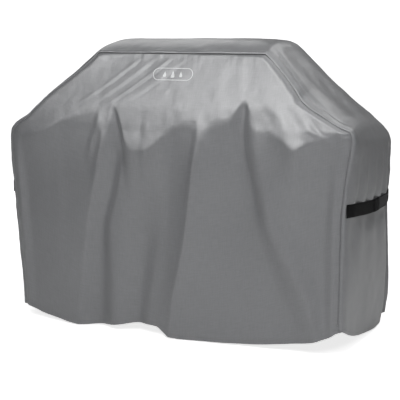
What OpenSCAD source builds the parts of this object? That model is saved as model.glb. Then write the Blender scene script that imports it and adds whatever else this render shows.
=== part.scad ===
// Fitted cover for a cart grill: three cloth panels sewn into a tent that is open below, a bound
// seam front and rear, a turned hem, and a pair of hook-and-loop straps on each side.
// Frame: +X right, +Y to the rear, +Z up. Origin at the middle of the open bottom, at the hem.

/* [Overall size] */
// Width across the corners that rest on the side shelves
cover_w = 1473; // [1200:1:1800]
// Depth, front to rear, at the shelf corners
cover_d = 600; // [500:1:720]
// Height from the hem to the crest over the hood
cover_h = 1165; // [1100:1:1300]

/* [Skirt] */
// Width at the hem, a little under the shelf width because the cloth hangs in
hem_w = 1410; // [1200:1:1800]
// Depth at the hem's corners
hem_d = 616; // [500:1:700]
// Depth at the middle of the hem, where the skirt stands off the cart
belly_d = 664; // [560:1:740]
// Width of the part of the hem that stands off the cart
belly_w = 900; // [600:1:1000]
// Height of the shelf corners
shelf_z = 815; // [700:1:860]
// Height of the knee, where the front and rear turn from slope to skirt
knee_z = 905; // [880:1:960]
// Width of the knee, which is the width of the hood's lower edge
knee_w = 660; // [500:1:760]
// Depth across the two knees
knee_d = 624; // [560:1:700]

/* [Hood] */
// Width of the top edge of the front and rear panels
hood_w = 736; // [600:1:900]
// Depth between the front and rear top seams
hood_d = 430; // [360:1:520]
// Height of the top seams
seam_z = 1114; // [1020:1:1130]
// Width of the flat crest
crest_w = 670; // [500:1:720]
// Depth of the flat crest
crest_d = 140; // [80:1:260]

/* [Cloth and seams] */
// Thickness of the cloth
cloth_t = 1.2; // [0.8:0.1:2]
// Radius that the cloth turns over an edge
edge_r = 14; // [8:1:24]
// Width of the gap along a seam line
seam_gap = 0.6; // [0.4:0.1:1.5]
// Width of the tape that binds the seam allowance
binding_w = 10; // [6:1:16]
// Thickness of the bound seam allowance
binding_t = 3; // [2:0.5:5]
// Height of the turned hem
hem_band_h = 25; // [15:1:40]
// Height of the hem's stitch line above the edge
hem_stitch_z = 14; // [8:1:20]
// Thickness of a stitch line
thread_t = 0.6; // [0.4:0.1:1.2]

/* [Straps] */
// Width of the strap webbing
strap_w = 50; // [38:1:60]
// Thickness of the strap webbing
strap_t = 1.6; // [1:0.1:2.5]
// Height of the straps' middle line
strap_z = 530; // [400:1:650]
// Length of the front strap from the corner seam to its tip
front_strap_l = 328; // [280:1:380]
// Length of the front strap that lies over the rear strap
overlap_l = 52; // [40:1:90]
// Thickness of a hook or loop patch
patch_t = 1.0; // [0.8:0.1:2]
// Length of the loop patch under the front strap's tip
loop_l = 46; // [40:1:80]

/* [Badge] */
// Width of the printed badge
badge_w = 176; // [120:1:240]
// Height of the printed badge
badge_h = 54; // [40:1:80]
// Height of the badge's middle
badge_z = 1030; // [980:1:1060]

/* [Hidden] */

cloth_grey = [0.46, 0.46, 0.47];
webbing_black = [0.07, 0.07, 0.07];
hook_charcoal = [0.22, 0.22, 0.22];
thread_grey = [0.38, 0.38, 0.39];
print_white = [0.92, 0.92, 0.93];

round_fn = 20;           // facets around an edge of the cloth
gap = 0.1;               // clearance between pieces that lie on each other
below = 60;              // how far the form runs on under the hem before it is cut off
full_r = edge_r / cos(180 / round_fn);   // makes a faceted sphere reach edge_r along each axis

// Half size, below the hem, on a line that has half size low at the hem and high at height z
function run_on(low, high, z) = low + (low - high) * below / z;

// Corners of the outer form, as [half width, half depth, height]
hem_corner = [
    run_on(hem_w / 2, cover_w / 2, shelf_z), run_on(hem_d / 2, cover_d / 2, shelf_z), -below
];
belly_corner = [
    run_on(belly_w / 2, knee_w / 2, knee_z), run_on(belly_d / 2, knee_d / 2, knee_z), -below
];
shelf_corner = [cover_w / 2, cover_d / 2, shelf_z];
knee_corner = [knee_w / 2, knee_d / 2, knee_z];
hood_corner = [hood_w / 2, hood_d / 2, seam_z];
crest_corner = [crest_w / 2, crest_d / 2, cover_h];
form_corners = [
    hem_corner, belly_corner, shelf_corner, knee_corner, hood_corner, crest_corner
];
seam_corners = [hem_corner, shelf_corner, hood_corner];

// Outer form of the cover, moved inwards by inset. It's solid, and it runs on below the hem.
module form(inset) {
    hull()
        for (corner = form_corners, sx = [-1, 1], sy = [-1, 1])
            translate([sx * (corner[0] - edge_r), sy * (corner[1] - edge_r), corner[2] - edge_r])
                sphere(r = full_r * (edge_r - inset) / edge_r, $fn = round_fn);
}

// Everything between two heights
module slab(z0, z1) {
    translate([-cover_w, -cover_d, z0])
        cube([2 * cover_w, 2 * cover_d, z1 - z0]);
}

// A skin that follows the form, from one inset to a deeper one, between two heights
module skin(outer, inner, z0, z1) {
    intersection() {
        difference() {
            form(outer);
            form(inner);
        }
        slab(z0, z1);
    }
}

module shell() {
    skin(0, cloth_t, 0, cover_h + 1);
}

// Wedge that spreads from the middle of the cover through the corners of the front seam
module front_wedge(forward) {
    middle = [0, 0, cover_h / 2];
    reach = 1.5;
    point = 0.01;
    translate([0, -forward, 0])
        hull() {
            translate(middle) cube(point, center = true);
            for (corner = seam_corners, sx = [-1, 1])
                translate(middle + reach * ([sx * corner[0], -corner[1], corner[2]] - middle))
                    cube(point, center = true);
        }
}

module front_panel() {
    color(cloth_grey)
        intersection() {
            shell();
            front_wedge(seam_gap / 2);
        }
}

module rear_panel() {
    mirror([0, 1, 0]) front_panel();
}

// One strip of cloth up the left side, over the hood and down the right side
module centre_strip() {
    color(cloth_grey)
        difference() {
            shell();
            front_wedge(-seam_gap / 2);
            mirror([0, 1, 0]) front_wedge(-seam_gap / 2);
        }
}

// Corners of the front seam's path, from the right hem over the hood to the left hem,
// moved in so that the bound allowance lies just inside the cloth
seam_in = 1.4 * edge_r;
right_path = [
    for (corner = seam_corners) [corner[0] - seam_in, seam_in - corner[1], corner[2] - seam_in]
];
left_path = [
    for (i = [len(right_path) - 1 : -1 : 0])
        [-right_path[i][0], right_path[i][1], right_path[i][2]]
];
seam_path = concat(right_path, left_path);

// The seam allowance and the tape folded round it, as one flat ribbon inside the seam
module front_seam_binding() {
    color(cloth_grey)
        intersection() {
            for (i = [0 : len(seam_path) - 2])
                hull()
                    for (p = [seam_path[i], seam_path[i + 1]])
                        translate(p)
                            cube([binding_t, binding_w, binding_t], center = true);
            slab(hem_band_h + 1, cover_h);
        }
}

module rear_seam_binding() {
    mirror([0, 1, 0]) front_seam_binding();
}

// The hem, turned up inside all three panels
module hem_band() {
    color(cloth_grey) skin(cloth_t + gap, 2 * cloth_t + gap, 0, hem_band_h);
}

// Line of lockstitch round the hem, standing a little proud of the cloth
module hem_stitching() {
    color(thread_grey)
        skin(-thread_t - gap, -gap, hem_stitch_z - thread_t, hem_stitch_z + thread_t);
}

// Badge: an outlined lozenge with three plain flames, printed on the front slope
slope_tilt = atan2((hood_d - knee_d) / 2, seam_z - knee_z);
slope_out = edge_r + 2 * gap;                 // from the middle of the rounded edge to the slope
slope_y = -knee_d / 2 + edge_r - slope_out / cos(slope_tilt)
          - tan(slope_tilt) * (badge_z - knee_z + edge_r);
flame_h = 0.56 * badge_h;
flame_r = 0.16 * badge_h;
print_t = 0.3;
badge_line = 2.4;

module pill(l, h) {
    square([l - h, h], center = true);
    for (s = [-1, 1])
        translate([s * (l - h) / 2, 0]) circle(d = h, $fn = 48);
}

// A drop with a round foot and a pointed tip
module flame(scale_by) {
    r = flame_r * scale_by;
    h = flame_h * scale_by;
    translate([0, r - flame_h / 2]) {
        circle(r = r, $fn = 48);
        polygon([[-0.9 * r, 0.3 * r], [0.9 * r, 0.3 * r], [0, h - r]]);
    }
}

module front_badge() {
    color(print_white)
        translate([0, slope_y, badge_z])
            rotate([90 + slope_tilt, 0, 0])
                linear_extrude(print_t) {
                    difference() {
                        pill(badge_w, badge_h);
                        pill(badge_w - 2 * badge_line, badge_h - 2 * badge_line);
                    }
                    for (i = [-1 : 1])
                        translate([i * 3.4 * flame_r, 0]) flame(i == 0 ? 1 : 0.78);
                }
}

// Straps, drawn for the right side. Each piece stands a little further out than the one under it.
wall_top_z = shelf_z - edge_r + edge_r * tan(180 / round_fn);    // where the wall is at its widest
wall_x = cover_w / 2 - (cover_w / 2 - hem_corner[0])
         * (wall_top_z - strap_z - strap_w / 2) / (shelf_z + below);
strap_x = wall_x + 3 * gap;
hook_x = strap_x + strap_t + gap;
loop_x = hook_x + patch_t + 2 * gap;
over_x = loop_x + patch_t + gap;
root_y = 298;            // distance of both sewn ends from the middle, at the corner seams
front_tip_y = front_strap_l - root_y;
rear_tip_y = front_tip_y - overlap_l;
step_l = 14;             // length over which the front strap steps out over the rear strap
hook_tail = 78;          // bare webbing between the hook patch and the rear strap's sewn end
hook_l = root_y - rear_tip_y - hook_tail;
patch_edge = 3;          // webbing left showing on each side of a patch
tip_r = 4;

// Outline of a strap or patch from y0 to y1, seen from the side. Its corners are rounded at tip_y.
module strap_outline(y0, y1, w, tip_y) {
    square_y0 = tip_y == y0 ? y0 + tip_r : y0;
    square_y1 = tip_y == y1 ? y1 - tip_r : y1;
    end_y = tip_y == y0 ? square_y0 : square_y1;
    translate([square_y0, -w / 2]) square([square_y1 - square_y0, w]);
    translate([end_y - tip_r, tip_r - w / 2]) square([2 * tip_r, w - 2 * tip_r]);
    for (s = [-1, 1])
        translate([end_y, s * (w / 2 - tip_r)]) circle(r = tip_r, $fn = 32);
}

// Stands an outline up on the side wall, t thick, with its inner face at x
module on_side(x, t) {
    translate([x, 0, strap_z])
        rotate([90, 0, 90])
            linear_extrude(t) children();
}

// Frame of stitches with a cross in it, on the outer face at x, from y0 to y1
module box_stitch(x, y0, y1) {
    w = strap_w - 2 * patch_edge - 4;
    l = y1 - y0;
    cross = atan2(w - 2 * thread_t, l - 2 * thread_t);
    on_side(x, thread_t / 2)
        translate([(y0 + y1) / 2, 0]) {
            difference() {
                square([l, w], center = true);
                square([l - 2 * thread_t, w - 2 * thread_t], center = true);
            }
            for (s = [-1, 1])
                rotate(s * cross) square([norm([w, l]) - 2 * thread_t, thread_t], center = true);
        }
}

// Rounded sewn end of a strap, on the line that the strap swings about
module root_bead(y) {
    translate([strap_x + strap_t / 2, y, strap_z - strap_w / 2])
        cylinder(d = strap_t, h = strap_w, $fn = 32);
}

// The front strap lies on the cloth, then steps out over the patches that it closes on
module front_strap() {
    step_y = front_tip_y - loop_l - 4;
    color(webbing_black) {
        root_bead(-root_y);
        intersection() {
            translate([0, 0, strap_z - strap_w / 2])
                linear_extrude(strap_w)
                    polygon([
                        [strap_x, -root_y], [strap_x + strap_t, -root_y],
                        [strap_x + strap_t, step_y - step_l], [over_x + strap_t, step_y],
                        [over_x + strap_t, front_tip_y], [over_x, front_tip_y],
                        [over_x, step_y], [strap_x, step_y - step_l]
                    ]);
            on_side(strap_x, over_x + strap_t - strap_x)
                strap_outline(-root_y, front_tip_y, strap_w, front_tip_y);
        }
    }
}

module front_loop_patch() {
    y1 = front_tip_y - patch_edge;
    color(webbing_black)
        on_side(loop_x, patch_t)
            strap_outline(front_tip_y - loop_l, y1, strap_w - 2 * patch_edge, y1);
}

module front_strap_stitching() {
    color(webbing_black)
        box_stitch(over_x + strap_t + gap, front_tip_y - loop_l + 2, front_tip_y - 6);
}

module rear_strap() {
    color(webbing_black) {
        root_bead(root_y);
        on_side(strap_x, strap_t)
            strap_outline(rear_tip_y, root_y, strap_w, rear_tip_y);
    }
}

module rear_hook_patch() {
    y0 = rear_tip_y + patch_edge;
    color(hook_charcoal)
        on_side(hook_x, patch_t)
            strap_outline(y0, y0 + hook_l, strap_w - 2 * patch_edge, y0);
}

// Stitches in the bare webbing between the hook patch and the sewn end
module rear_strap_stitching() {
    color(webbing_black)
        box_stitch(strap_x + strap_t + gap, root_y - hook_tail + 8, root_y - 10);
}

front_panel();
rear_panel();
centre_strip();
front_seam_binding();
rear_seam_binding();
hem_band();
hem_stitching();
front_badge();
front_strap();  // right_front_strap
front_loop_patch();  // right_front_loop_patch
front_strap_stitching();  // right_front_strap_stitching
rear_strap();  // right_rear_strap
rear_hook_patch();  // right_rear_hook_patch
rear_strap_stitching();  // right_rear_strap_stitching
mirror([1, 0, 0]) front_strap();  // left_front_strap
mirror([1, 0, 0]) front_loop_patch();  // left_front_loop_patch
mirror([1, 0, 0]) front_strap_stitching();  // left_front_strap_stitching
mirror([1, 0, 0]) rear_strap();  // left_rear_strap
mirror([1, 0, 0]) rear_hook_patch();  // left_rear_hook_patch
mirror([1, 0, 0]) rear_strap_stitching();  // left_rear_strap_stitching
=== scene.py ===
import math

import bpy
import numpy as np
from mathutils.bvhtree import BVHTree
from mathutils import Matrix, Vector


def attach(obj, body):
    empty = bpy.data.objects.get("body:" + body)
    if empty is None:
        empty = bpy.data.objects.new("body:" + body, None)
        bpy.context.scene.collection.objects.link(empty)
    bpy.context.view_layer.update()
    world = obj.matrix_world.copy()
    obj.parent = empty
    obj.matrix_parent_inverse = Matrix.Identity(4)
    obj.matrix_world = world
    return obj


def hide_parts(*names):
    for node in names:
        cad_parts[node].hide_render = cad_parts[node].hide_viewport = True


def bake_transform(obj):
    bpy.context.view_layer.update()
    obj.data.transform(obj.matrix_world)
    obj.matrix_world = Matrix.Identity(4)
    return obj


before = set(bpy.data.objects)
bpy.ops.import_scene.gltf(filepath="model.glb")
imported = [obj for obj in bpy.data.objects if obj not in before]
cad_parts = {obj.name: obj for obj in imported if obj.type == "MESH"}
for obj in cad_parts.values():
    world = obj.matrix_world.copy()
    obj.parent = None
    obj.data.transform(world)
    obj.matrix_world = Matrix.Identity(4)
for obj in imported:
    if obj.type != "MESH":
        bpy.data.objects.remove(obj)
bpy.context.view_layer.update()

# ---- shape helpers


def ease(a, b, x):
    """0 before a and 1 after b, with a smooth turn between them."""
    t = np.clip((np.asarray(x, float) - a) / (b - a), 0, 1)
    return t * t * (3 - 2 * t)


def hump(x, centre, width):
    """1 at the centre, falling away on both sides."""
    return np.exp(-(((x - centre) / width) ** 2))


def through(points, x):
    """Smooth curve through given (x, value) points, with no overshoot between them."""
    px = np.array([p[0] for p in points], float)
    py = np.array([p[1] for p in points], float)
    h = np.diff(px)
    d = np.diff(py) / h
    m = np.zeros_like(px)
    same = d[:-1] * d[1:] > 0
    w1, w2 = 2 * h[1:] + h[:-1], h[1:] + 2 * h[:-1]
    m[1:-1][same] = ((w1 + w2)[same]) / (w1[same] / d[:-1][same] + w2[same] / d[1:][same])
    m[0], m[-1] = d[0], d[-1]
    x = np.clip(np.asarray(x, float), px[0], px[-1])
    i = np.clip(np.searchsorted(px, x) - 1, 0, len(h) - 1)
    t = (x - px[i]) / h[i]
    return (
        py[i] * (1 + 2 * t) * (1 - t) ** 2
        + m[i] * h[i] * t * (1 - t) ** 2
        + py[i + 1] * t * t * (3 - 2 * t)
        + m[i + 1] * h[i] * t * t * (t - 1)
    )


def softmin(a, b, k):
    """The lower of a and b, rounded where they cross."""
    h = np.clip(0.5 + 0.5 * (b - a) / k, 0, 1)
    return b * (1 - h) + a * h - k * h * (1 - h)


CELLS = 64
NOISE = np.random.default_rng(7).random((CELLS, CELLS))


def noise(a, b):
    """Smooth value noise from -1 to 1, one cell to the unit."""
    a, b = np.asarray(a, float), np.asarray(b, float)
    ia, ib = np.floor(a).astype(int), np.floor(b).astype(int)
    fa, fb = a - ia, b - ib
    fa, fb = fa**3 * (fa * (6 * fa - 15) + 10), fb**3 * (fb * (6 * fb - 15) + 10)

    def cell(i, j):
        return NOISE[i % CELLS, j % CELLS]

    low = cell(ia, ib) * (1 - fa) + cell(ia + 1, ib) * fa
    high = cell(ia, ib + 1) * (1 - fa) + cell(ia + 1, ib + 1) * fa
    return 2 * (low * (1 - fb) + high * fb) - 1


# ---- the cover's seams

CLOTH = 0.0010  # thickness of the cloth
FULL_OUT = 0.3570  # as far out as the front skirt's bulges reach
CORNER, HIGH_CORNER = 0.052, 0.022  # reach of a seam's rounded corner, under and over the shelf
TOP, TOP_SEAM_OUT = 1.111, 0.215  # height and depth of the front and rear top seams
SHELF = 0.82  # height of the shelf corners
RIM = 0.906  # height of the hood's edge, where the slope's steeper faces begin
SLOPE_OUT, SLOPE = 0.213, 0.41  # the slope's depth at the top and its steepness above the rim
FRONT_HEM_X, REAR_HEM_X, STRIP_HEM_X = 0.705, 0.69, 0.71  # where the corners take the hem's height
GROOVE = 0.0040  # half width of the groove along a seam
HEM_DEPTH, HEM_GROOVE = 0.027, 0.0225  # heights of the doubled hem and of its groove

# Half widths at the front seam against height. The cloth sags between hood and shelf.
RIGHT_X = [
    (0.0, 0.700), (0.094, 0.704), (0.25, 0.706), (0.4, 0.706), (0.52, 0.707), (0.57, 0.711),
    (0.65, 0.719), (0.72, 0.729), (0.775, 0.738), (0.81, 0.741), (0.831, 0.735), (0.85, 0.694),
    (0.883, 0.631), (0.917, 0.568), (0.938, 0.538), (0.97, 0.511), (1.006, 0.479), (1.034, 0.452),
    (1.074, 0.411), (TOP, 0.368),
]
LEFT_X = [
    (0.0, 0.694), (0.1, 0.699), (0.23, 0.710), (0.36, 0.721), (0.49, 0.732), (0.57, 0.739),
    (0.66, 0.750), (0.74, 0.753), (0.782, 0.747), (0.803, 0.732), (0.83, 0.69), (0.885, 0.632),
    (0.944, 0.57), (0.99, 0.508), (1.044, 0.439), (1.08, 0.395), (TOP, 0.366),
]
# Half widths at the rear seam, where no shelf holds the cloth out
REAR_X = [
    (0.0, 0.697), (0.05, 0.704), (0.12, 0.712), (0.2, 0.712), (0.33, 0.705), (0.5, 0.700),
    (0.58, 0.704), (0.68, 0.706), (0.74, 0.704), (0.78, 0.692), (0.82, 0.665), (0.86, 0.618),
    (0.90, 0.567), (0.96, 0.500), (1.03, 0.430), (1.08, 0.380), (TOP, 0.348),
]


def half_width(x_side, z):
    """Front half width at height z, on the side that x_side's sign gives."""
    return np.where(x_side > 0, through(RIGHT_X, z), through(LEFT_X, z))


def seam_depth(z):
    """How far in front of the middle the front seam lies at height z."""
    return TOP_SEAM_OUT + 0.085 * ease(1.16, 0.80, z) + 0.004 * ease(0.8, 0.1, z)


def hem_z(x):
    """Height of the front hem."""
    return through(
        [
            (-0.70, 0.038), (-0.61, 0.014), (-0.51, 0.002), (-0.46, -0.006), (-0.40, -0.010),
            (-0.31, -0.002), (-0.213, 0.014), (-0.10, 0.028), (-0.05, 0.026), (-0.01, 0.008),
            (0.02, -0.006), (0.08, -0.010), (0.20, -0.008), (0.35, -0.001), (0.473, 0.014),
            (0.575, 0.032), (0.65, 0.055), (0.69, 0.076), (0.71, 0.094),
        ],
        x,
    )


# ---- front panel

# Where the slope turns over into the skirt: lobes hang low between arches that run up to the hood
KNUCKLE = [
    (-0.76, 0.770), (-0.70, 0.772), (-0.62, 0.782), (-0.56, 0.802), (-0.489, 0.838),
    (-0.391, 0.872), (-0.320, 0.897), (-0.283, 0.903), (-0.248, 0.880), (-0.214, 0.825),
    (-0.182, 0.762), (-0.150, 0.734), (-0.115, 0.733), (-0.070, 0.746), (-0.010, 0.795),
    (0.045, 0.834), (0.095, 0.854), (0.120, 0.848), (0.136, 0.822), (0.152, 0.818),
    (0.168, 0.836), (0.195, 0.858), (0.216, 0.862), (0.245, 0.862), (0.270, 0.880),
    (0.292, 0.904), (0.314, 0.915), (0.334, 0.897), (0.355, 0.868), (0.385, 0.820),
    (0.405, 0.813), (0.425, 0.826), (0.450, 0.818), (0.485, 0.800), (0.512, 0.776),
    (0.536, 0.766), (0.559, 0.777), (0.590, 0.795), (0.617, 0.800), (0.640, 0.806),
    (0.667, 0.791), (0.690, 0.806), (0.735, 0.812), (0.760, 0.822),
]

# Steepness of the faces that hang below the hood's edge, against x
FACE = [
    (-0.76, 0.38), (-0.34, 0.36), (-0.26, 0.27), (0.02, 0.26), (0.07, 0.33), (0.13, 0.35),
    (0.17, 0.29), (0.30, 0.28), (0.40, 0.22), (0.46, 0.33), (0.60, 0.35), (0.76, 0.38),
]


def clipped(x, k):
    """x where it is positive and 0 elsewhere, with a rounded turn of size k."""
    return 0.5 * (x + np.sqrt(x * x + k * k)) - 0.5 * k


# Creases of the slope: x at the top seam, height and width
CREASES = (
    (0.05, 0.0008, 0.016), (-0.015, 0.0018, 0.013), (-0.085, 0.0011, 0.016), (-0.15, 0.0011, 0.014),
)


def front_slope(x, z):
    """The slope under the top seam: straight at first, then steeper faces below the hood's edge."""
    down = TOP - z
    rim = RIM + 0.012 * ease(0.25, 0.4, x)
    out = SLOPE_OUT + SLOPE * down - (SLOPE - through(FACE, x)) * clipped(rim - z, 0.012)
    # creases that run down to the left from the top seam
    for start, gain, width in CREASES:
        line = start - 1.05 * down - 1.3 * down**2
        fade = ease(0.01, 0.05, down) * ease(0.23, 0.13, down)
        out += gain * (hump(x, line, width) - 0.8 * hump(x, line + 1.5 * width, 0.7 * width)) * fade
    out += 0.0010 * hump(x, 0.27 + 0.10 * down, 0.020) * ease(0.22, 0.1, down)
    # a fold that leaves the right seam and runs down to the shelf corner
    valley = through([(0.80, 0.662), (0.822, 0.640), (0.843, 0.614), (0.885, 0.583),
                      (0.921, 0.558), (0.96, 0.515)], z)
    near = ease(0.81, 0.835, z) * ease(0.97, 0.92, z)
    out -= 0.005 * hump(x, valley, 0.014) * near
    out += 0.004 * hump(x, valley - 0.028, 0.018) * near
    # the ridge of the right lobe, and the crease left of it
    lobe = through([(0.75, 0.545), (0.77, 0.535), (0.802, 0.514), (0.856, 0.486), (0.903, 0.454),
                    (0.96, 0.40)], z)
    near = ease(0.95, 0.88, z)
    out += 0.0025 * hump(x, lobe, 0.028) * near
    out -= 0.0015 * hump(x, lobe - 0.050, 0.024) * near
    out -= 0.0025 * hump(x, lobe + 0.047, 0.020) * near
    # faint vertical crease in the face of the middle lobe
    out -= 0.0022 * hump(x, -0.118, 0.016) * ease(0.90, 0.84, z)
    out += 0.0016 * noise(13 * x + 0.5 * z, 9 * z) + 0.0008 * noise(31 * x, 22 * z)
    return out


# The long folds of the front skirt from left to right: crests and grooves in turn. Each has its x
# and then its reach to the front, against height. The last number shapes the way to the next one: 0
# is an even turn, 1 falls away at once, as behind a sharp edge, and -1 rises ever faster up to one.
FOLDS = (
    ([(0, -0.70), (0.9, -0.70)], [(0, 0.294), (0.9, 0.298)], 0.75),
    ([(0, -0.412), (0.15, -0.396), (0.31, -0.376), (0.48, -0.348), (0.62, -0.315), (0.76, -0.290)],
     [(0, 0.342), (0.3, 0.340), (0.6, 0.336), (0.8, 0.330)], 0.5),
    ([(0, -0.326), (0.31, -0.312), (0.44, -0.300), (0.57, -0.263), (0.67, -0.242), (0.76, -0.216)],
     [(0, 0.301), (0.3, 0.301), (0.5, 0.308), (0.7, 0.308)], 0),
    ([(0, -0.230), (0.22, -0.234), (0.40, -0.252), (0.57, -0.215), (0.67, -0.190), (0.76, -0.170)],
     [(0, 0.340), (0.2, 0.337), (0.35, 0.331), (0.5, 0.327), (0.7, 0.328)], 0),
    ([(0, -0.150), (0.17, -0.134), (0.33, -0.110), (0.5, -0.090), (0.7, -0.070)],
     [(0, 0.308), (0.3, 0.300), (0.5, 0.312), (0.7, 0.320)], 0),
    ([(0, -0.084), (0.17, -0.060), (0.34, -0.035), (0.6, 0.0)],
     [(0, 0.332), (0.3, 0.318), (0.45, 0.314), (0.7, 0.318)], -1),
    ([(0, 0.016), (0.15, 0.034), (0.25, 0.057), (0.35, 0.080), (0.47, 0.098), (0.55, 0.107),
      (0.75, 0.126)],
     [(0, 0.354), (0.3, 0.353), (0.5, 0.350), (0.7, 0.344)], 1),
    ([(0, 0.525), (0.08, 0.510), (0.15, 0.490), (0.23, 0.452), (0.31, 0.412), (0.38, 0.384),
      (0.45, 0.360), (0.60, 0.343), (0.76, 0.310)],
     [(0, 0.304), (0.25, 0.296), (0.5, 0.298), (0.7, 0.304)], 0),
    ([(0, 0.628), (0.08, 0.622), (0.15, 0.602), (0.24, 0.570), (0.31, 0.530), (0.39, 0.490),
      (0.46, 0.452), (0.61, 0.416), (0.76, 0.378)],
     [(0, 0.322), (0.25, 0.327), (0.5, 0.333), (0.7, 0.332)], 0.3),
    ([(0, 0.665), (0.9, 0.665)], [(0, 0.302), (0.25, 0.297), (0.5, 0.295), (0.7, 0.299)], 0),
    ([(0, 0.72), (0.9, 0.72)], [(0, 0.308), (0.9, 0.308)], 0),
)


def long_folds(x, z):
    """Reach of the skirt to the front where it has settled into its long folds."""
    places = [through(path, z) for path, _, _ in FOLDS]
    depths = [through(depth, z) for _, depth, _ in FOLDS]
    out = depths[0]
    for k, (_, _, sharp) in enumerate(FOLDS[:-1]):
        t = np.clip((x - places[k]) / (places[k + 1] - places[k]), 0, 1)
        steep = t**2 if sharp < 0 else 1 - (1 - t) ** 2
        way = abs(sharp) * steep + (1 - abs(sharp)) * t * t * (3 - 2 * t)
        out = out + (depths[k + 1] - depths[k]) * way
    return out


def front_skirt(x, z, turn, turn_z):
    """The skirt: it hangs straight down from the turned edge, and settles into its long folds."""
    high = ease(0.42, 0.72, z)
    settle = 1 - (1 - np.clip((turn_z - z) / 0.32, 0, 1)) ** 2.2
    out = turn * (1 - settle) + long_folds(x, z) * settle

    # ridge from the left end of the hood, with a sharp left flank
    r = through([(0.27, -0.362), (0.40, -0.348), (0.52, -0.328), (0.60, -0.312), (0.65, -0.302),
                 (0.77, -0.286), (0.90, -0.283)], z)
    out += 0.012 * high * hump(x, r, np.where(x < r, 0.030, 0.036))
    second = through([(0.70, -0.352), (0.764, -0.337), (0.826, -0.317), (0.90, -0.291)], z)
    out += 0.005 * ease(0.66, 0.74, z) * hump(x, second, 0.018)
    # sharp crease on the left of the middle lobe
    crease = through([(0.45, -0.185), (0.611, -0.191), (0.691, -0.198), (0.770, -0.211),
                      (0.829, -0.228), (0.90, -0.252)], z)
    out -= 0.009 * ease(0.50, 0.80, z) * hump(x, crease, 0.016)
    # the long edge: the cloth right of it stands out over the hollow on its left
    past = x - through([(0.23, 0.063), (0.35, 0.086), (0.47, 0.104), (0.59, 0.124), (0.71, 0.136),
                        (0.81, 0.146), (0.86, 0.146)], z)
    step = ease(-0.045, 0.006, past)
    out += 0.009 * high * step * np.exp(-np.clip(past, 0, 9) / 0.16) * ease(0.90, 0.70, z)
    # valley that starts at the right end of the hood
    valley = through([(0.40, 0.412), (0.56, 0.362), (0.643, 0.335), (0.755, 0.314),
                      (0.831, 0.306), (0.93, 0.315)], z)
    out -= 0.009 * high * hump(x, valley, 0.024)
    # small folds under the right shelf corner
    corner = through([(0.66, 0.742), (0.711, 0.729), (0.757, 0.713), (0.789, 0.697),
                      (0.82, 0.69)], z)
    near = ease(0.62, 0.74, z)
    out -= 0.006 * near * hump(x, corner, 0.010) - 0.004 * near * hump(x, corner - 0.03, 0.014)
    out += 0.0020 * noise(9 * x + 3, 2.2 * z) + 0.0010 * noise(24 * x, 5 * z + 9)
    return out


def front_out(x, z):
    """Distance of the front panel in front of the middle, without its seam edges."""

    def to_seam(z, out):
        """out, drawn in to the seam near the side edges."""
        pull = ease(0.62, 1.0, np.abs(x) / half_width(x, z)) ** 1.3
        return out * (1 - pull) + (seam_depth(z) + 0.010) * pull

    turn_z = through(KNUCKLE, x)
    slope = to_seam(z, front_slope(x, z))
    skirt = front_skirt(x, z, to_seam(turn_z, front_slope(x, turn_z)), turn_z)
    pull = ease(0.90, 1.0, np.abs(x) / half_width(x, z))
    skirt = skirt * (1 - pull) + (seam_depth(z) + CORNER * 0.35) * pull
    return softmin(softmin(slope, skirt, 0.0045), FULL_OUT, 0.008)


def pucker(along, away):
    """Small gathers that run away from a seam line."""
    wave = noise(34 * along, 3.0 + 8 * away) + 0.5 * noise(71 * along, 11 + 12 * away)
    return 0.0012 * wave * np.exp(-away / 0.04)


def seam_shape(along, away, depth):
    """Height beside a seam, which itself is the bottom of the groove."""
    rise = 1 - np.exp(-((away / GROOVE) ** 2))
    ridge = 0.0005 * np.exp(-(((away - 0.011) / 0.006) ** 2)) * (1 + noise(26 * along, 0.3))
    return rise * (depth + ridge + pucker(along, away))


def hem_shape(above):
    """Height near the hem: the doubled band, with a shallow groove under its upper edge."""
    rise = 0.0011 * ease(HEM_DEPTH + 0.003, HEM_DEPTH - 0.003, above)
    return rise - 0.0012 * hump(above, HEM_GROOVE, 0.0022)


# ---- meshes


def unit(v):
    return v / np.maximum(np.linalg.norm(v, axis=-1, keepdims=True), 1e-12)


def looped(points):
    return np.concatenate([points, points[:1]])


def lengths(points):
    """Distance along a line of points, from the first to each of them."""
    return np.concatenate([[0], np.cumsum(np.linalg.norm(np.diff(points, axis=0), axis=1))])


def between(at, length, points):
    """Points at given distances along a line of points."""
    return np.stack([np.interp(at, length, points[:, k]) for k in range(3)], -1)


def packed(n, *places):
    """n values from 0 to 1, closer together around each (place, width, gain)."""
    t = np.linspace(0, 1, 4001)
    density = 1 + sum(gain * hump(t, place, width) for place, width, gain in places)
    total = np.concatenate([[0], np.cumsum((density[1:] + density[:-1]) / 2)])
    return np.interp(np.linspace(0, total[-1], n), total, t)


def outward_normals(p, outward):
    """Unit normals of a grid of points, on the side that outward points to at its middle."""
    n = unit(np.cross(np.gradient(p, axis=1), np.gradient(p, axis=0)))
    middle = n[n.shape[0] // 2, n.shape[1] // 2]
    return n if np.dot(middle, np.array(outward, float)) > 0 else -n


def new_object(name, data):
    obj = bpy.data.objects.new(name, data)
    bpy.context.scene.collection.objects.link(obj)
    return obj


def smooth_object(name, verts, faces, corners=None):
    """A smooth shaded mesh. corners holds the cloth coordinates of each face's corners in turn."""
    mesh = bpy.data.meshes.new(name)
    mesh.from_pydata(verts.tolist(), [], faces)
    layer = mesh.uv_layers.new(name="cloth")
    if corners is not None:
        layer.data.foreach_set("uv", corners.astype(np.float32).ravel())
    mesh.polygons.foreach_set("use_smooth", np.ones(len(faces), bool))
    return new_object(name, mesh)


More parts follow.
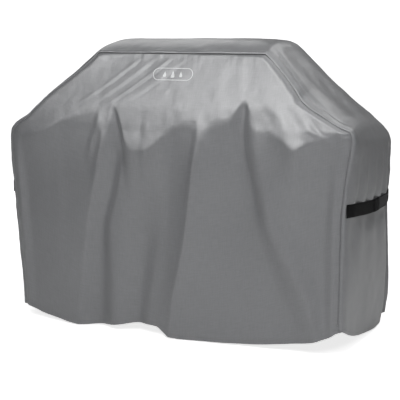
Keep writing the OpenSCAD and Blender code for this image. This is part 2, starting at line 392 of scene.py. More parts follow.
def shell_mesh(name, p, n, uv):
    """Closed thin shell whose outer face is the grid p with normals n. uv is in metres of cloth."""
    rows, cols = p.shape[:2]
    count = rows * cols
    verts = np.concatenate([p.reshape(-1, 3), (p - n * CLOTH).reshape(-1, 3)])
    i = np.arange(rows - 1)[:, None] * cols + np.arange(cols - 1)[None, :]
    outer = np.stack([i, i + 1, i + cols + 1, i + cols], -1).reshape(-1, 4)
    a, b, c = verts[outer[0, :3]]
    order = -1 if np.dot(np.cross(b - a, c - a), n[0, 0]) < 0 else 1
    outer = outer[:, ::order]
    ring = np.concatenate([
        np.arange(cols - 1),
        np.arange(rows - 1) * cols + cols - 1,
        (rows - 1) * cols + np.arange(cols - 1, 0, -1),
        np.arange(rows - 1, 0, -1) * cols,
    ])
    after = np.roll(ring, -1)
    rim = np.stack([ring, ring + count, after + count, after], -1)[:, ::order]
    quads = np.concatenate([outer, outer[:, ::-1] + count, rim])
    flat = np.concatenate([uv.reshape(-1, 2), uv.reshape(-1, 2)])
    obj = smooth_object(name, verts, quads.tolist(), flat[quads.ravel()])
    obj.data.validate()
    return obj


def tube_mesh(name, rings, closed=False):
    """Closed solid swept through rings of points, an array of (along, around, 3)."""
    n, m = rings.shape[:2]
    verts = rings.reshape(-1, 3)
    i = np.arange(n if closed else n - 1)[:, None]
    j = np.arange(m)[None, :]
    i2, j2 = (i + 1) % n, (j + 1) % m
    quads = np.stack([i * m + j, i2 * m + j, i2 * m + j2, i * m + j2], -1).reshape(-1, 4)
    along, around = lengths(looped(rings.mean(axis=1))), lengths(looped(rings[n // 2]))
    i, j = np.broadcast_arrays(i, j)
    uv = np.stack([np.stack([along[i + a], around[j + b]], -1)
                   for a, b in ((0, 0), (1, 0), (1, 1), (0, 1))], -2).reshape(-1, 4, 2)
    a, b, c, d = (verts[quads[:, k]] for k in range(4))
    volume = (a * np.cross(b, c)).sum() + (a * np.cross(c, d)).sum()
    order = -1 if volume < 0 else 1
    faces = quads[:, ::order].tolist()
    corners = [uv[:, ::order].reshape(-1, 2)]
    if not closed:
        first, last = np.arange(m)[::-order], (n - 1) * m + np.arange(m)[::order]
        faces += [first.tolist(), last.tolist()]
        corners += 2 * [np.stack([0 * around[:m], around[:m]], -1)]
    obj = smooth_object(name, verts, faces, np.concatenate(corners))
    obj.data.set_sharp_from_angle(angle=math.radians(50))
    return obj


def flat_section(width, thick, across=8):
    """Section of a flat band with rounded edges, as (across, out) pairs."""
    r = thick / 2
    w = np.linspace(-width / 2 + r, width / 2 - r, across)
    turn = np.linspace(0, np.pi, 6)[1:-1]
    return np.concatenate([
        np.stack([w, 0 * w + r], -1),
        np.stack([width / 2 - r + r * np.sin(turn), r * np.cos(turn)], -1),
        np.stack([w[::-1], 0 * w - r], -1),
        np.stack([-width / 2 + r - r * np.sin(turn), -r * np.cos(turn)], -1),
    ])


def sweep(path, wide, out, section, widths=None):
    """Rings of a section swept along a path. widths scales the section's width along the path."""
    widths = np.ones(len(path)) if widths is None else widths
    across = section[None, :, 0:1] * widths[:, None, None] * wide[:, None, :]
    return path[:, None, :] + across + section[None, :, 1:2] * out[:, None, :]


# A stitch's profile: place along it and share of its thickness
STITCH = np.array([[-0.5, 0.25], [-0.42, 0.8], [-0.15, 1.0], [0.15, 1.0], [0.42, 0.8], [0.5, 0.25]])


def stitches(name, centres, along, out, length, radius):
    """One mesh of many short rounded stitches, each along its own direction."""
    around = np.linspace(0, 2 * np.pi, 7)[:-1]
    side = unit(np.cross(along, out))
    s = STITCH[:, 0][None, :, None, None] * length
    r = STITCH[:, 1][None, :, None, None] * radius
    c, d = np.cos(around)[None, None, :, None], np.sin(around)[None, None, :, None]
    # the ends dip into the cloth
    dip = (STITCH[:, 0] ** 2 * 4)[None, :, None, None] * radius * 0.9
    p = (centres[:, None, None, :] + s * along[:, None, None, :]
         + r * c * side[:, None, None, :] + (r * d - dip) * out[:, None, None, :])
    n, k, m = p.shape[:3]
    verts = p.reshape(-1, 3)
    i, j = np.meshgrid(np.arange(k - 1), np.arange(m), indexing="ij")
    j2 = (j + 1) % m
    quad = np.stack([i * m + j, (i + 1) * m + j, (i + 1) * m + j2, i * m + j2], -1).reshape(-1, 4)
    one = verts[: k * m]
    a, b, c = (one[quad[:, q]] for q in range(3))
    order = -1 if (np.cross(b - a, c - a) * (a - one.mean(axis=0))).sum() < 0 else 1
    first, last = np.arange(m)[::-order], (k - 1) * m + np.arange(m)[::order]
    faces = quad[:, ::order].tolist() + [first.tolist(), last.tolist()]
    faces = [[v + stitch * k * m for v in face] for stitch in range(n) for face in faces]
    return smooth_object(name, verts, faces)


# ---- cloth panels

COLS, ROWS = 248, 190
ACROSS_PLACES = ((0, 0.018, 3.5), (1, 0.018, 3.5), (0.5, 0.30, 0.5))
DOWN_PLACES = ((0, 0.02, 1.5), (1, 0.02, 1.5), (0.26, 0.09, 1.1))


def panel_grid(half_at, hem_at, out_at, facing, seed, uv_start):
    """Points and cloth coordinates of the front (facing -1) or rear (1) panel."""
    t = packed(ROWS, *DOWN_PLACES)[:, None]
    u = (2 * packed(COLS, *ACROSS_PLACES) - 1)[None, :]
    hem = hem_at(u)
    z = TOP + (hem - TOP) * t
    half = half_at(u + 0 * z, z)
    x = u * half
    out = out_at(x, z)
    # distance from the side seams, which slant above the shelf, and from the top seam
    side = (half - np.abs(x)) * np.where(z > SHELF, 0.66, 1.0)
    top = TOP - z
    reach = HIGH_CORNER + (CORNER - HIGH_CORNER) * ease(SHELF + 0.02, SHELF - 0.06, z)
    turn = np.clip(1 - side / reach, 0, 1) ** 2
    out = out * (1 - turn) + seam_depth(z) * turn
    turn = np.exp(-top / 0.008)
    out = out * (1 - turn) + TOP_SEAM_OUT * turn
    deep = 0.0010 + 0.0010 * ease(SHELF - 0.02, SHELF + 0.02, z)
    out = out + seam_shape(z + seed, side, deep) * (1 - np.exp(-top / 0.006))
    out = out + seam_shape(x + seed + 3, top * 1.1, 0.0016) * (1 - np.exp(-side / 0.006))
    above = z - hem
    out = out + hem_shape(above)
    out = out + 0.0006 * noise(90 * x, 1.7 + seed) * np.exp(-above / 0.03)
    p = np.stack([x, facing * out, z], -1)
    arc = np.zeros_like(z)
    arc[1:] = np.cumsum(np.linalg.norm(np.diff(p, axis=0), axis=2), axis=0)
    return p, np.stack([x + uv_start, 1.2 - arc], -1)


def rear_hem_z(x):
    """Height of the rear hem."""
    return 0.018 - 0.010 * np.cos(7 * x) * ease(0.7, 0.4, np.abs(x)) + 0.006 * np.sin(11 * x + 1)


# The rear skirt's soft folds: x, how far it stands out, and width
REAR_FOLDS = (
    (-0.46, 0.014, 0.07), (-0.22, -0.010, 0.06), (-0.02, 0.016, 0.08), (0.2, -0.012, 0.05),
    (0.36, 0.015, 0.07), (0.55, -0.008, 0.05),
)


def rear_out(x, z):
    """The rear hangs straighter: a plain slope, then a skirt with a few soft folds."""
    slope = SLOPE_OUT + 0.45 * (TOP - z) - 0.22 * np.clip(0.90 - z, 0, 1)
    low = ease(0.8, 0.1, z)
    skirt = 0.318 + 0.012 * low
    for place, gain, width in REAR_FOLDS:
        skirt += gain * (0.35 + low) * hump(x, place + 0.05 * low * math.copysign(1, place), width)
    skirt += 0.018 * ease(0.70, 0.78, z) * (hump(x, -0.16, 0.07) + hump(x, 0.27, 0.08))
    skirt += 0.0022 * noise(9 * x + 23, 2.2 * z) + 0.0011 * noise(24 * x + 5, 5 * z + 29)
    pull = ease(0.60, 1.0, np.abs(x) / through(REAR_X, z))
    to_seam = seam_depth(z) + 0.004
    slope = slope * (1 - pull) + to_seam * pull
    skirt = skirt * (1 - pull) + (to_seam + 0.004) * pull
    return softmin(slope, skirt, 0.014)


front_points, front_uv = panel_grid(
    half_width, lambda u: hem_z(u * FRONT_HEM_X), front_out, facing=-1, seed=2.0, uv_start=0.0)
rear_points, rear_uv = panel_grid(
    lambda _, z: through(REAR_X, z), lambda u: rear_hem_z(u * REAR_HEM_X), rear_out,
    facing=1, seed=7.0, uv_start=2.0)

# ---- centre strip

# Heights and half widths against a station that runs from the hem (0) over the shelf (1) and the
# hood's corner (2) to the middle of the crest (3). The strip's middle line is at y = 0.
MID_X = [
    (0, 0.700), (0.15, 0.712), (0.35, 0.719), (0.55, 0.720), (0.75, 0.725), (0.92, 0.724),
    (1.0, 0.711), (1.06, 0.690), (1.15, 0.652), (1.35, 0.573), (1.6, 0.484), (1.85, 0.406),
    (1.95, 0.380), (2.05, 0.350), (2.2, 0.295), (2.5, 0.18), (3.0, 0.0),
]
MID_Z = [
    (0, 0.016), (0.15, 0.12), (0.35, 0.29), (0.55, 0.465), (0.75, 0.64), (0.92, 0.765),
    (1.0, 0.808), (1.06, 0.842), (1.15, 0.878), (1.35, 0.950), (1.6, 1.034), (1.85, 1.112),
    (1.95, 1.140), (2.05, 1.156), (2.2, 1.162), (2.5, 1.163), (3.0, 1.163),
]
SEAM_Z = [
    (0, 0.0), (0.25, 0.235), (0.5, 0.45), (0.75, 0.65), (0.92, 0.765), (1.0, 0.807),
    (1.06, 0.832), (1.15, 0.860), (1.35, 0.912), (1.6, 0.985), (1.85, 1.066), (2.0, TOP),
]
REAR_SEAM_Z = [
    (0, 0.0), (0.25, 0.22), (0.5, 0.43), (0.75, 0.62), (0.92, 0.73), (1.0, 0.768),
    (1.06, 0.795), (1.15, 0.835), (1.35, 0.905), (1.6, 0.975), (1.85, 1.055), (2.0, TOP),
]
STATIONS = np.concatenate([
    np.linspace(0, 1, 104)[:-1],
    np.linspace(1, 2, 70)[:-1],
    np.linspace(2, 3, 52),
])
ACROSS = 94


def strip_lines(side):
    """Front seam, middle and rear seam of the strip on one side, as points at its stations."""
    s = STATIONS

    def seam(hem, heights, half_at, facing):
        z = float(hem) * np.clip(1 - s, 0, 1) + through(heights, np.minimum(s, 2))
        x = np.where(s < 2, half_at(z), half_at(np.array(TOP)) * (3 - s))
        return np.stack([side * x, facing * seam_depth(z), z], -1)

    front = seam(hem_z(side * STRIP_HEM_X), SEAM_Z, lambda z: half_width(side + 0 * z, z), -1)
    rear = seam(rear_hem_z(side * REAR_HEM_X), REAR_SEAM_Z, lambda z: through(REAR_X, z), 1)
    return front, np.stack([side * through(MID_X, s), 0 * s, through(MID_Z, s)], -1), rear


def side_folds(side, s, z, y):
    """Soft gathers of the side walls, held in at the strap."""
    wall = ease(1.02, 0.85, s)
    if side > 0:
        strap = 0.53 - 0.09 * (y + 0.3)
        above, below = ease(0.0, 0.05, z - strap), ease(0.0, 0.05, strap - z)
        wave = 0.0045 * np.cos(62 * y + 1.2 + 3 * z)
        out = wave * above * ease(0.80, 0.62, z) * ease(0.25, 0.1, y)
        out += 0.0030 * np.cos(40 * y + 0.4) * below * ease(0.2, 0.45, z)
        out += 0.006 * above * hump(z, 0.68, 0.12) * hump(y, 0.0, 0.17)
        out -= 0.010 * hump(z, strap, 0.05) * hump(y, 0.0, 0.24)
        # the rear part is drawn in behind a long fold
        fold = 0.205 - 0.015 * z
        away = 0.020 * ease(fold - 0.006, fold + 0.010, y) + 0.016 * ease(fold, fold + 0.09, y)
        out -= away * ease(0.86, 0.66, z) * ease(0.32, 0.29, y)
        return out * wall
    out = 0.0045 * np.cos(41 * y + 0.3 + 2 * z) * hump(z, 0.64, 0.14)
    out += 0.0040 * np.cos(27 * y + 2.4) * ease(0.5, 0.2, z)
    out += 0.008 * hump(y, 0.0, 0.16) * hump(z, 0.72, 0.12)
    out -= 0.012 * hump(y, 0.16, 0.025) * ease(0.86, 0.6, z)
    return out * wall


def strip_grid():
    """Points and cloth coordinates of the centre strip, from the right hem to the left one."""
    q = 2 * packed(ACROSS, (0, 0.05, 2.5), (1, 0.05, 2.5)) - 1
    k = q[None, :, None]
    halves = []
    for side in (1, -1):
        front, mid, rear = (a[:, None, :] for a in strip_lines(side))
        # a little squarer than a parabola, so that the wall stays flat in the middle
        lift = (1 - np.abs(k) ** 2.6)
        chord = front * (1 - k) / 2 + rear * (1 + k) / 2
        p = chord + (mid - (front + rear) / 2) * lift
        p[..., 1:2] = chord[..., 1:2]
        halves.append(p)
    right, left = halves
    p = np.concatenate([right, left[::-1][1:]])
    n = outward_normals(p, (0, 0, 1))
    y, z = p[..., 1], p[..., 2]
    s = np.concatenate([STATIONS, STATIONS[::-1][1:]])[:, None] + 0 * y
    right_rows = np.arange(len(p))[:, None] < len(STATIONS)
    arc_row = lengths(p[:, ACROSS // 2])
    arc = arc_row[:, None] + 0 * y
    folds = np.where(right_rows, side_folds(1, s, z, y), side_folds(-1, s, z, y))
    front_away = np.linalg.norm(p - p[:, :1], axis=2)
    rear_away = np.linalg.norm(p - p[:, -1:], axis=2)
    nearest = np.minimum(front_away, rear_away)
    inside = 1 - np.exp(-nearest / 0.03)
    off = folds * inside
    for away, seed in ((front_away, 1.0), (rear_away, 4.0)):
        near = 1 - np.clip(1 - away / CORNER, 0, 1) ** 2
        off = off + 0.010 * near * ease(1.15, 0.95, s)
        off = off + seam_shape(arc + seed, away, 0.0010 + 0.0014 * ease(0.98, 1.04, s))
    # sag between hood and shelf, with a pair of long creases beside the front seam
    slope = ease(1.0, 1.2, s) * ease(2.05, 1.85, s)
    off = off + slope * 0.0025 * np.cos(30 * y + 3 * s) * inside
    off = off + slope * 0.0040 * hump(front_away, 0.030, 0.014) * (1 + 0.4 * noise(12 * arc, 0.5))
    off = off - slope * 0.0030 * hump(front_away, 0.058, 0.014)
    off = off + ease(1.95, 2.1, s) * 0.0012 * noise(5 * p[..., 0] + 4, 14 * y)
    off = off + 0.0018 * noise(8 * arc, 9 * y + 4) + 0.0009 * noise(22 * arc, 21 * y)
    off = off + hem_shape(np.minimum(arc, arc_row[-1] - arc))
    off = off * ease(0, 0.003, nearest)
    return p + n * off[..., None], np.stack([y + 4.0, arc], -1)


strip_points, strip_uv = strip_grid()
front_n = outward_normals(front_points, (0, -1, 0))
rear_n = outward_normals(rear_points, (0, 1, 0))
strip_n = outward_normals(strip_points, (0, 0, 1))
front_panel = shell_mesh("front_panel_cloth", front_points, front_n, front_uv)
rear_panel = shell_mesh("rear_panel_cloth", rear_points, rear_n, rear_uv)
strip = shell_mesh("centre_strip_cloth", strip_points, strip_n, strip_uv)

# ---- materials


def node_material(name):
    m = bpy.data.materials.new(name)
    m.use_nodes = True
    return m, m.node_tree, m.node_tree.nodes["Principled BSDF"]


def feed(node, inputs):
    """Give a node its inputs: each is a plain value, or the socket that feeds it."""
    for key, value in inputs.items():
        if isinstance(value, bpy.types.NodeSocket):
            node.id_data.links.new(value, node.inputs[key])
        else:
            node.inputs[key].default_value = value


def socket(tree, kind, output, inputs, **settings):
    """An output of a new shader node with these settings and inputs."""
    node = tree.nodes.new("ShaderNode" + kind)
    for key, value in settings.items():
        setattr(node, key, value)
    feed(node, inputs)
    return node.outputs[output]


def math_of(tree, operation, *values):
    return socket(tree, "Math", "Value", dict(enumerate(values)), operation=operation)


def noise_of(tree, vector, scale, detail, roughness=0.5):
    inputs = {"Vector": vector, "Scale": scale, "Detail": detail, "Roughness": roughness}
    return socket(tree, "TexNoise", "Fac", inputs)


def remap(tree, value, low, high, to_low, to_high, **settings):
    """value, with low to high stretched to to_low to to_high."""
    inputs = dict(enumerate((value, low, high, to_low, to_high)))
    return socket(tree, "MapRange", "Result", inputs, **settings)


def ribs(tree, vector, axis, pitch, distortion):
    """Bands across one axis, at a pitch in metres."""
    scale = 2 * math.pi / 20 / pitch
    inputs = {"Vector": vector, "Scale": scale, "Distortion": distortion, "Detail": 0}
    return socket(tree, "TexWave", "Fac", inputs, bands_direction=axis)


def tinted(tree, colour, shade):
    return socket(tree, "VectorMath", "Vector", {0: colour, "Scale": shade}, operation="SCALE")


def bumps(tree, height, strength, depth, **below):
    inputs = {"Strength": strength, "Distance": depth, "Height": height}
    return socket(tree, "Bump", "Normal", {**inputs, **below})


def plain_weave(name, colour, roughness, pitch):
    """Coated cloth in plain weave, with uneven yarns, fine crumples and an uneven shade."""
    m, tree, bsdf = node_material(name)
    uv = socket(tree, "UVMap", "UV", {}, uv_map="cloth")
    place = socket(tree, "TexCoord", "Object", {})
    weave = math_of(tree, "ADD", *(ribs(tree, uv, axis, pitch, 0.6) for axis in "XY"))
    crumple = noise_of(tree, place, 28, 5, 0.55)
    shade = remap(tree, noise_of(tree, place, 3.5, 3), 0.3, 0.7, 0.965, 1.035)
    for yarns in ((22, 240, 1), (240, 22, 1)):
        stretched = socket(tree, "Mapping", "Vector", {"Vector": uv, "Scale": yarns})
        slubs = remap(tree, noise_of(tree, stretched, 1, 3), 0.25, 0.75, 0.92, 1.08)
        shade = math_of(tree, "MULTIPLY", shade, slubs)
    crumpled = bumps(tree, crumple, 0.55, 0.0022)
    feed(bsdf, {
        "Base Color": tinted(tree, colour, shade),
        "Roughness": remap(tree, crumple, 0, 1, roughness - 0.05, roughness + 0.05),
        "Normal": bumps(tree, weave, 0.25, 0.00012, Normal=crumpled),
        "Specular IOR Level": 1.0, "Coat Weight": 0.6, "Coat Roughness": 0.36, "Sheen Weight": 0.05,
    })
    return m


def woven(name, colour, roughness, pitches, depth, speckle=0.0, sheen=0.0, turn=0.0, gloss=0.5):
    """Narrow woven or knitted goods: ribs along and across, broken up by a fine grain."""
    m, tree, bsdf = node_material(name)
    uv = socket(tree, "UVMap", "UV", {}, uv_map="cloth")
    turned = socket(tree, "Mapping", "Vector", {"Vector": uv, "Rotation": (0, 0, turn)})
    both = (ribs(tree, turned, axis, pitch, 0.4) for axis, pitch in zip("XY", pitches))
    ribbed = math_of(tree, "MULTIPLY", *both)
    grain = noise_of(tree, socket(tree, "TexCoord", "Object", {}), 900, 3)
    height = math_of(tree, "MULTIPLY_ADD", grain, speckle, ribbed)
    feed(bsdf, {
        "Base Color": tinted(tree, colour, remap(tree, height, 0, 1, 0.72, 1.16)),
        "Normal": bumps(tree, height, 0.8, depth),
        "Roughness": roughness, "Specular IOR Level": gloss,
        "Sheen Weight": sheen, "Sheen Roughness": 0.5,
    })
    return m


cloth = plain_weave("grey_polyester", (0.179, 0.182, 0.190), 0.38, 0.00055)
# The seam tape is real, but its near-black colour is painted shade: its edge in the seam's groove
# stands for the shadow there.
tape = woven("seam_tape_painted_shade", (0.030, 0.030, 0.032), 0.6, (0.0009, 0.0009), 0.00015, turn=0.78)
thread = woven("grey_thread", (0.17, 0.172, 0.176), 0.5, (0.0004, 0.0004), 0.00004)
webbing = woven("black_webbing", (0.0085, 0.0085, 0.0090), 0.6, (0.0011, 0.0021), 0.0003, 0.35,
                gloss=0.1)
strap_thread = woven("black_thread", (0.014, 0.014, 0.015), 0.45, (0.0004, 0.0004), 0.00004)
hooks = woven("charcoal_hooks", (0.050, 0.050, 0.052), 0.75, (0.0014, 0.0014), 0.0004, 0.8,
              gloss=0.25)
loops = woven("black_loops", (0.012, 0.012, 0.013), 0.9, (0.001, 0.001), 0.0004, 1.6, 0.05,
              gloss=0.1)
print_white = woven("white_print", (0.80, 0.81, 0.82), 0.5, (0.00055, 0.00055), 0.00008, 0.2)


def finish_piece(obj, material, node):
    obj.data.materials.append(material)
    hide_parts(node)


# ---- hem

HEM_ROWS = 14  # rows of points that reach past the hem band


def round_hem(front, side, rear):
    """Every panel's columns of points or normals, from the edge up, in one loop round the cover."""
    return np.concatenate([
        front[::-1][:HEM_ROWS, 4:-4],
        side[:HEM_ROWS, 3:-3],
        rear[::-1][:HEM_ROWS, ::-1][:, 4:-4],
        side[::-1][:HEM_ROWS, ::-1][:, 3:-3],
    ], axis=1)


hem_points = round_hem(front_points, strip_points, rear_points)
hem_normals = round_hem(front_n, strip_n, rear_n)


def above_hem(height, inward):
    """A loop of points round the hem at a height above the edge, inward from the outer face."""
    points, normals = [], []
    for p, n in zip(hem_points.swapaxes(0, 1), hem_normals.swapaxes(0, 1)):
        rise = lengths(p)
        points.append(between(height, rise, p))
        normals.append(between(height, rise, n))
    normals = unit(np.array(normals))
    return np.array(points) - inward * normals, normals


levels = (0.0004, 0.008, 0.0165, 0.0250)  # of the hem band's points
outer = [above_hem(h, CLOTH + 0.0003)[0] for h in levels]
inner = [above_hem(h, 2 * CLOTH + 0.0003)[0] for h in levels]
hem_band = tube_mesh("hem_band_cloth", np.stack(outer + inner[::-1], axis=1), closed=True)

STITCH_UP, STITCH_PITCH = 0.014, 0.0048
STITCH_LENGTH, STITCH_R = 0.0036, 0.00032
line, line_n = (looped(a) for a in above_hem(STITCH_UP, -0.0002))
length = lengths(line)
count = int(length[-1] / STITCH_PITCH)
at = np.arange(count) * length[-1] / count
centres, line_n = between(at, length, line), unit(between(at, length, line_n))
along = unit(np.roll(centres, -1, axis=0) - np.roll(centres, 1, axis=0))
hem_stitches = stitches("hem_stitches", centres, along, line_n, STITCH_LENGTH, STITCH_R)

# ---- seam bindings

TAPE_W, TAPE_T, TAPE_POINTS = 0.010, 0.0026, 420
TAPE_END = 0.028  # how far above the hem the tape ends
# the edge that shows is near black, as painted shade in the seam's groove
TAPE_IN = 0.0054  # how far inside the seam its middle lies, so that only its edge shows


def panel_edge(p, n):
    """The seam edge of a panel and its normals, from the right hem over the top to the left hem."""
    edge = np.concatenate([p[::-1, -1], p[0, ::-1][1:], p[:, 0][1:]])
    return edge, np.concatenate([n[::-1, -3], n[2, ::-1][1:], n[:, 2][1:]])


def binding(name, edge, edge_normal, panel, panel_normal):
    """A folded tape that stands inwards from the seam between the strip's edge and a panel."""
    other, other_normal = panel_edge(panel, panel_normal)
    near = ((edge[:, None] - other[None]) ** 2).sum(axis=2).argmin(axis=1)
    inward = -unit(edge_normal + other_normal[near])
    length = lengths(edge)
    at = np.linspace(TAPE_END, length[-1] - TAPE_END, TAPE_POINTS)
    path, inward = between(at, length, edge), unit(between(at, length, inward))
    tangent = unit(np.gradient(path, axis=0))
    out = unit(np.cross(tangent, inward))
    inward = np.cross(out, tangent)
    section = flat_section(TAPE_W, TAPE_T, across=4)
    return tube_mesh(name, sweep(path + inward * TAPE_IN, inward, out, section))


front_binding = binding("front_seam_tape", strip_points[:, 0], strip_n[:, 2], front_points, front_n)
rear_binding = binding("rear_seam_tape", strip_points[:, -1], strip_n[:, -3], rear_points, rear_n)

# ---- badge: an outlined lozenge with three plain flames, on the front slope


def surface(obj):
    return BVHTree.FromPolygons([v.co.copy() for v in obj.data.vertices],
                                [tuple(f.vertices) for f in obj.data.polygons])


front_surface = surface(front_panel)
BADGE_X, BADGE_Z, BADGE_W, BADGE_H, BADGE_LINE = -0.010, 1.030, 0.176, 0.052, 0.0030
PRINT_LOW, PRINT_HIGH = 0.0003, 0.0008
SLOPE_COS = 0.918  # the slope's own height against its height seen level


def on_badge(x, up, lift):
    """A point of the badge, measured from its middle along the slope, lifted off the cloth."""
    start = Vector((BADGE_X + x, -1, BADGE_Z + up * SLOPE_COS))
    hit, normal, _, _ = front_surface.ray_cast(start, Vector((0, 1, 0)))
    normal = normal if normal.y < 0 else -normal
    return np.array(hit + normal * lift)


outline = []
for end in (1, -1):
    for step in range(25):
        turn = math.radians(-90 + 180 * step / 24)
        outline.append((end * ((BADGE_W - BADGE_H) / 2 + BADGE_H / 2 * math.cos(turn)),
                        end * BADGE_H / 2 * math.sin(turn)))
    for step in range(1, 20):
        outline.append((end * (BADGE_W - BADGE_H) / 2 * (1 - step / 10), end * BADGE_H / 2))
outline = np.array(outline)
outward = unit(np.roll(outline, -1, axis=0) - np.roll(outline, 1, axis=0)) @ [[0, -1], [1, 0]]
line_section = [(0, PRINT_LOW), *((inset, PRINT_HIGH) for inset in (0, 0.5, 1)), (1, PRINT_LOW)]
rings = [[on_badge(*(point - away * inset * BADGE_LINE), lift) for inset, lift in line_section]
         for point, away in zip(outline, outward)]
badge_parts = [tube_mesh("front_badge_print", np.array(rings), closed=True)]

FLAME_H, FLAME_W = 0.030, 0.0085
for index, (place, size) in enumerate(((-0.036, 0.8), (0.0, 1.0), (0.036, 0.8))):
    rings = []
    for v in np.linspace(0, 1, 22):
        belly = 0.06 + 0.94 * math.sin(math.pi * min(1.0, 0.08 + v) ** 0.62) ** 0.9
        half = max(FLAME_W * size * belly * (1 - 0.35 * v), 0.0004)
        middle = place + 0.0018 * math.sin(3.4 * v + index) * v
        up = (FLAME_H * v - 0.015) * size
        across = middle + np.linspace(-1, 1, 7) * half
        rings.append([on_badge(x, up, PRINT_HIGH) for x in across]
                     + [on_badge(x, up, PRINT_LOW) for x in across[::-1]])
    badge_parts.append(tube_mesh(f"badge_flame_{index}", np.array(rings)))
bpy.ops.object.select_all(action="DESELECT")
for part in badge_parts:
    part.select_set(True)
badge = badge_parts[0]
bpy.context.view_layer.objects.active = badge
bpy.ops.object.join()

for piece, material, slot, node in (
    (front_panel, cloth, "cover_cloth", "front_panel"),
    (rear_panel, cloth, "cover_cloth", "rear_panel"),
    (strip, cloth, "cover_cloth", "centre_strip"),
    (hem_band, cloth, "cover_cloth", "hem_band"),
    (hem_stitches, thread, "thread", "hem_stitching"),
    (front_binding, tape, "seam_tape", "front_seam_binding"),
    (rear_binding, tape, "seam_tape", "rear_seam_binding"),
    (badge, print_white, "badge_print", "front_badge"),
):
    finish_piece(piece, material, node)
    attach(piece, "cover")

# ---- straps

STRAP_W, STRAP_T = 0.050, 0.0016
PATCH_W, PATCH_T = STRAP_W - 0.006, 0.0010
LIFT = 0.0008  # gap between the strap and the cloth
OVER = STRAP_T + 2 * PATCH_T + 0.0004  # how far the front strap steps out over the rear one
TIP_R = 0.005  # radius of the strap's rounded corners
STRAP_END = 0.2965  # y of the sewn ends, in front and behind
strip_surface = surface(strip)


def wall_x(side, y, z):
    hit, _, _, _ = strip_surface.ray_cast(Vector((side * 1.2, y, z)), Vector((-side, 0, 0)))
    return abs(hit.x)


def taut(y, x):
    """The upper hull of x over y: a band drawn tight over the bumps of the cloth."""
    hull = []
    for p in zip(y, x):
        while len(hull) > 1:
            (ax, ay), (bx, by) = hull[-2], hull[-1]
            if (bx - ax) * (p[1] - ay) - (by - ay) * (p[0] - ax) >= 0:
                hull.pop()
            else:
                break
        hull.append(p)
    tight = np.interp(y, *zip(*hull))
    kernel = np.hanning(13)
    kernel /= kernel.sum()
    padded = np.pad(tight, 6, mode="edge")
    return np.maximum(np.convolve(padded, kernel, mode="valid"), tight - 0.0006)


def strap_height(y):
    """Height of the strap's middle: it droops a little from its front end."""
    return 0.5285 + 0.020 * ease(-0.02, -0.30, y) + 0.002 * np.cos(9 * y)


# How far out the cloth under the strap reaches against y, on each side
WALL_Y = np.linspace(-0.298, 0.298, 200)
WALL = {}
for side in (1, -1):
    reach = [max(wall_x(side, y, float(z)) for z in strap_height(y) + np.linspace(-0.024, 0.024, 9))
             for y in WALL_Y]
    WALL[side] = taut(WALL_Y, np.array(reach))


def band(name, side, y0, y1, width, thick, off, tip, step=None):
    """A flat band along the side wall from y0 to y1, off from the wall. Its rounded tip is at y1
    (tip 1) or y0 (tip -1). step is a rise of the band, as (from y, to y, height)."""
    n = max(24, int(abs(y1 - y0) / 0.0022))
    # a tight spacing at the tip for its corners
    y = y0 + (y1 - y0) * packed(n, ((1 + tip) / 2, 0.02, 6))
    x = np.interp(y, WALL_Y, WALL[side]) + off + thick / 2
    if step:
        x = x + step[2] * ease(step[0], step[1], y)
    path = np.stack([side * x, y, strap_height(y)], -1)
    tangent = unit(np.gradient(path, axis=0))
    wide = unit(np.array([[0, 0, 1.0]]) - tangent * tangent[:, 2:3])
    out = np.cross(tangent, wide)
    out = out * np.where((out[:, 0] * side)[:, None] < 0, -1, 1)
    away = np.abs(y - (y1 if tip == 1 else y0))
    cut = np.clip(TIP_R - away, 0, TIP_R)
    arc = np.sqrt(np.maximum(TIP_R * TIP_R - cut * cut, 1e-9))
    widths = (width / 2 - TIP_R + arc) / (width / 2)
    # the edges of the band curl very slightly towards the cloth
    section = flat_section(width, thick)
    section[:, 1] -= 0.0006 * (np.abs(section[:, 0]) / (width / 2)) ** 4
    return tube_mesh(name, sweep(path, wide, out, section, widths))


def band_stitches(name, side, y0, y1, off):
    """A frame of stitches with a cross in it."""
    half, pitch, probe = 0.018, 0.0032, 0.002

    def wall(y):
        return float(np.interp(y, WALL_Y, WALL[side]))

    corners = (y0, -half), (y1, -half), (y1, half), (y0, half)
    centres, along = [], []
    for start, end in ((0, 1), (1, 2), (2, 3), (3, 0), (0, 2), (1, 3)):
        (a, b), (c, d) = corners[start], corners[end]
        length = math.hypot(c - a, d - b)
        count = max(1, round(length / pitch))
        for q in range(count):
            f = (q + 0.5) / count
            y, dz = a + (c - a) * f, b + (d - b) * f
            lean = (wall(y + probe) - wall(y)) / probe
            centres.append((side * (wall(y) + off), y, float(strap_height(y)) + dz))
            along.append((side * lean * (c - a) / length, (c - a) / length, (d - b) / length))
    centres, along = np.array(centres), unit(np.array(along))
    out = unit(np.array([[side, 0, 0]]) - along * (along[:, 0:1] * side))
    return stitches(name, centres, along, out, length=0.0026, radius=0.00030)


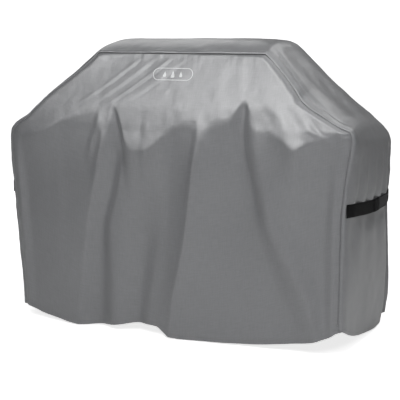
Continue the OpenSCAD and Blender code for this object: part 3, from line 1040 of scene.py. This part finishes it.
for side, word in ((1, "right"), (-1, "left")):
    front, rear = f"{word}_front_strap", f"{word}_rear_strap"
    front_web = band(f"{word}_front_webbing", side, -STRAP_END, 0.030, STRAP_W, STRAP_T, LIFT, 1,
                     (-0.036, -0.022, OVER))
    loop = band(f"{word}_loop_patch", side, -0.016, 0.027, PATCH_W, PATCH_T,
                LIFT + STRAP_T + PATCH_T + 0.0002, 1)
    front_sewing = band_stitches(f"{word}_front_strap_thread", side, -0.013, 0.023,
                                 LIFT + STRAP_T + OVER)
    rear_web = band(f"{word}_rear_webbing", side, -0.022, STRAP_END, STRAP_W, STRAP_T, LIFT, -1)
    hook = band(f"{word}_hook_patch", side, -0.019, 0.223, PATCH_W, PATCH_T,
                LIFT + STRAP_T + 0.0001, -1)
    rear_sewing = band_stitches(f"{word}_rear_strap_thread", side, 0.228, 0.288, LIFT + STRAP_T)
    # the pieces at a sewn end (-1 in front, 1 behind) stay in place with their placing baked in,
    # and the others ride on the strap
    for piece, material, slot, node, body, end in (
        (front_web, webbing, "strap_webbing", front, front, -1),
        (loop, loops, "loop_fastener", f"{word}_front_loop_patch", front, 0),
        (front_sewing, strap_thread, "strap_thread", f"{front}_stitching", front, 0),
        (rear_web, webbing, "strap_webbing", rear, rear, 1),
        (hook, hooks, "hook_fastener", f"{word}_rear_hook_patch", rear, 0),
        (rear_sewing, strap_thread, "strap_thread", f"{rear}_stitching", rear, 1),
    ):
        finish_piece(piece, material, node)
        if end:
            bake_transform(piece)
        else:
            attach(piece, body)

# ---- floor, light and camera

FLOOR_Z, FLOOR_REACH = -0.014, 30
mesh = bpy.data.meshes.new("floor")
mesh.from_pydata([(x * FLOOR_REACH, y * FLOOR_REACH, FLOOR_Z)
                  for x, y in ((-1, -1), (1, -1), (1, 1), (-1, 1))], [], [(0, 1, 2, 3)])
floor = new_object("floor", mesh)
floor_material, tree, bsdf = node_material("pale_floor")
# the camera sees the floor lit evenly to its edges, and only a soft shadow near the hem
place = socket(tree, "TexCoord", "Object", {})
away = socket(tree, "VectorMath", "Value", {0: place}, operation="LENGTH")
glow = remap(tree, away, 0.6, 2.2, 0.80, 1.05, interpolation_type="SMOOTHSTEP")
seen = socket(tree, "LightPath", "Is Camera Ray", {})
feed(bsdf, {
    "Base Color": (0.8, 0.8, 0.8, 1), "Roughness": 1,
    "Emission Color": (1, 1, 1, 1), "Emission Strength": math_of(tree, "MULTIPLY", seen, glow),
})
floor.data.materials.append(floor_material)


def aim(obj, target, distance, azimuth, elevation):
    """Put obj at a distance from target, in a direction in degrees, so that it looks at target."""
    a, e = math.radians(azimuth), math.radians(elevation)
    away = Vector((math.sin(a) * math.cos(e), -math.cos(a) * math.cos(e), math.sin(e)))
    obj.location = Vector(target) + away * distance
    obj.rotation_mode = "QUATERNION"
    obj.rotation_quaternion = (-away).to_track_quat("-Z", "Y")


# Soft boxes: name, power, size, azimuth, elevation, and whether only their shine or fill is used
LIGHT_TARGET, LIGHT_DISTANCE = (0, 0, 0.6), 4
LIGHTS = (
    ("front", 53, 1.7, 0, 40, "both"),
    ("right_front", 33, 1.7, 26, 35, "fill"),
    ("right_front_shine", 11, 2.6, 26, 35, "shine"),
    ("right", 27, 1.2, 64, 30, "fill"),
    ("overhead", 36, 2.4, 90, 75, "both"),
    ("behind", 16, 1.7, 160, 45, "both"),
    ("behind_left", 10, 1.7, 215, 35, "both"),
    ("shine_low", 8, 1.7, -26, 20, "shine"),
    ("shine_left", 38, 2.0, -24, 36, "shine"),
)
for name, power, size, azimuth, elevation, kind in LIGHTS:
    data = bpy.data.lights.new(name, "AREA")
    data.shape = "SQUARE"
    data.energy, data.size = power, size
    obj = new_object(name, data)
    obj.visible_camera = False
    obj.visible_diffuse = kind != "shine"
    obj.visible_glossy = kind != "fill"
    aim(obj, LIGHT_TARGET, LIGHT_DISTANCE, azimuth, elevation)

# A dim surround for the object, and a white one for the camera
SURROUND, BACKGROUND = 0.10, 1.2
world = bpy.data.worlds.new("studio")
bpy.context.scene.world = world
world.use_nodes = True
tree = world.node_tree
tree.nodes.clear()
white = [socket(tree, "Background", "Background", {"Color": (1, 1, 1, 1), "Strength": strength})
         for strength in (SURROUND, BACKGROUND)]
seen = socket(tree, "LightPath", "Is Camera Ray", {})
mix = socket(tree, "MixShader", "Shader", {0: seen, 1: white[0], 2: white[1]})
feed(tree.nodes.new("ShaderNodeOutputWorld"), {"Surface": mix})

bpy.context.scene.view_settings.view_transform = "Standard"

CAMERA_TARGET, CAMERA_DISTANCE = (-0.01, -0.01, 0.495), 4.40
CAMERA_AZIMUTH, CAMERA_ELEVATION, CAMERA_LENS = 26.2, 9.3, 94.14
camera = new_object("camera", bpy.data.cameras.new("camera"))
camera.data.sensor_width = 36
camera.data.lens = CAMERA_LENS
aim(camera, CAMERA_TARGET, CAMERA_DISTANCE, CAMERA_AZIMUTH, CAMERA_ELEVATION)
bpy.context.scene.camera = camera
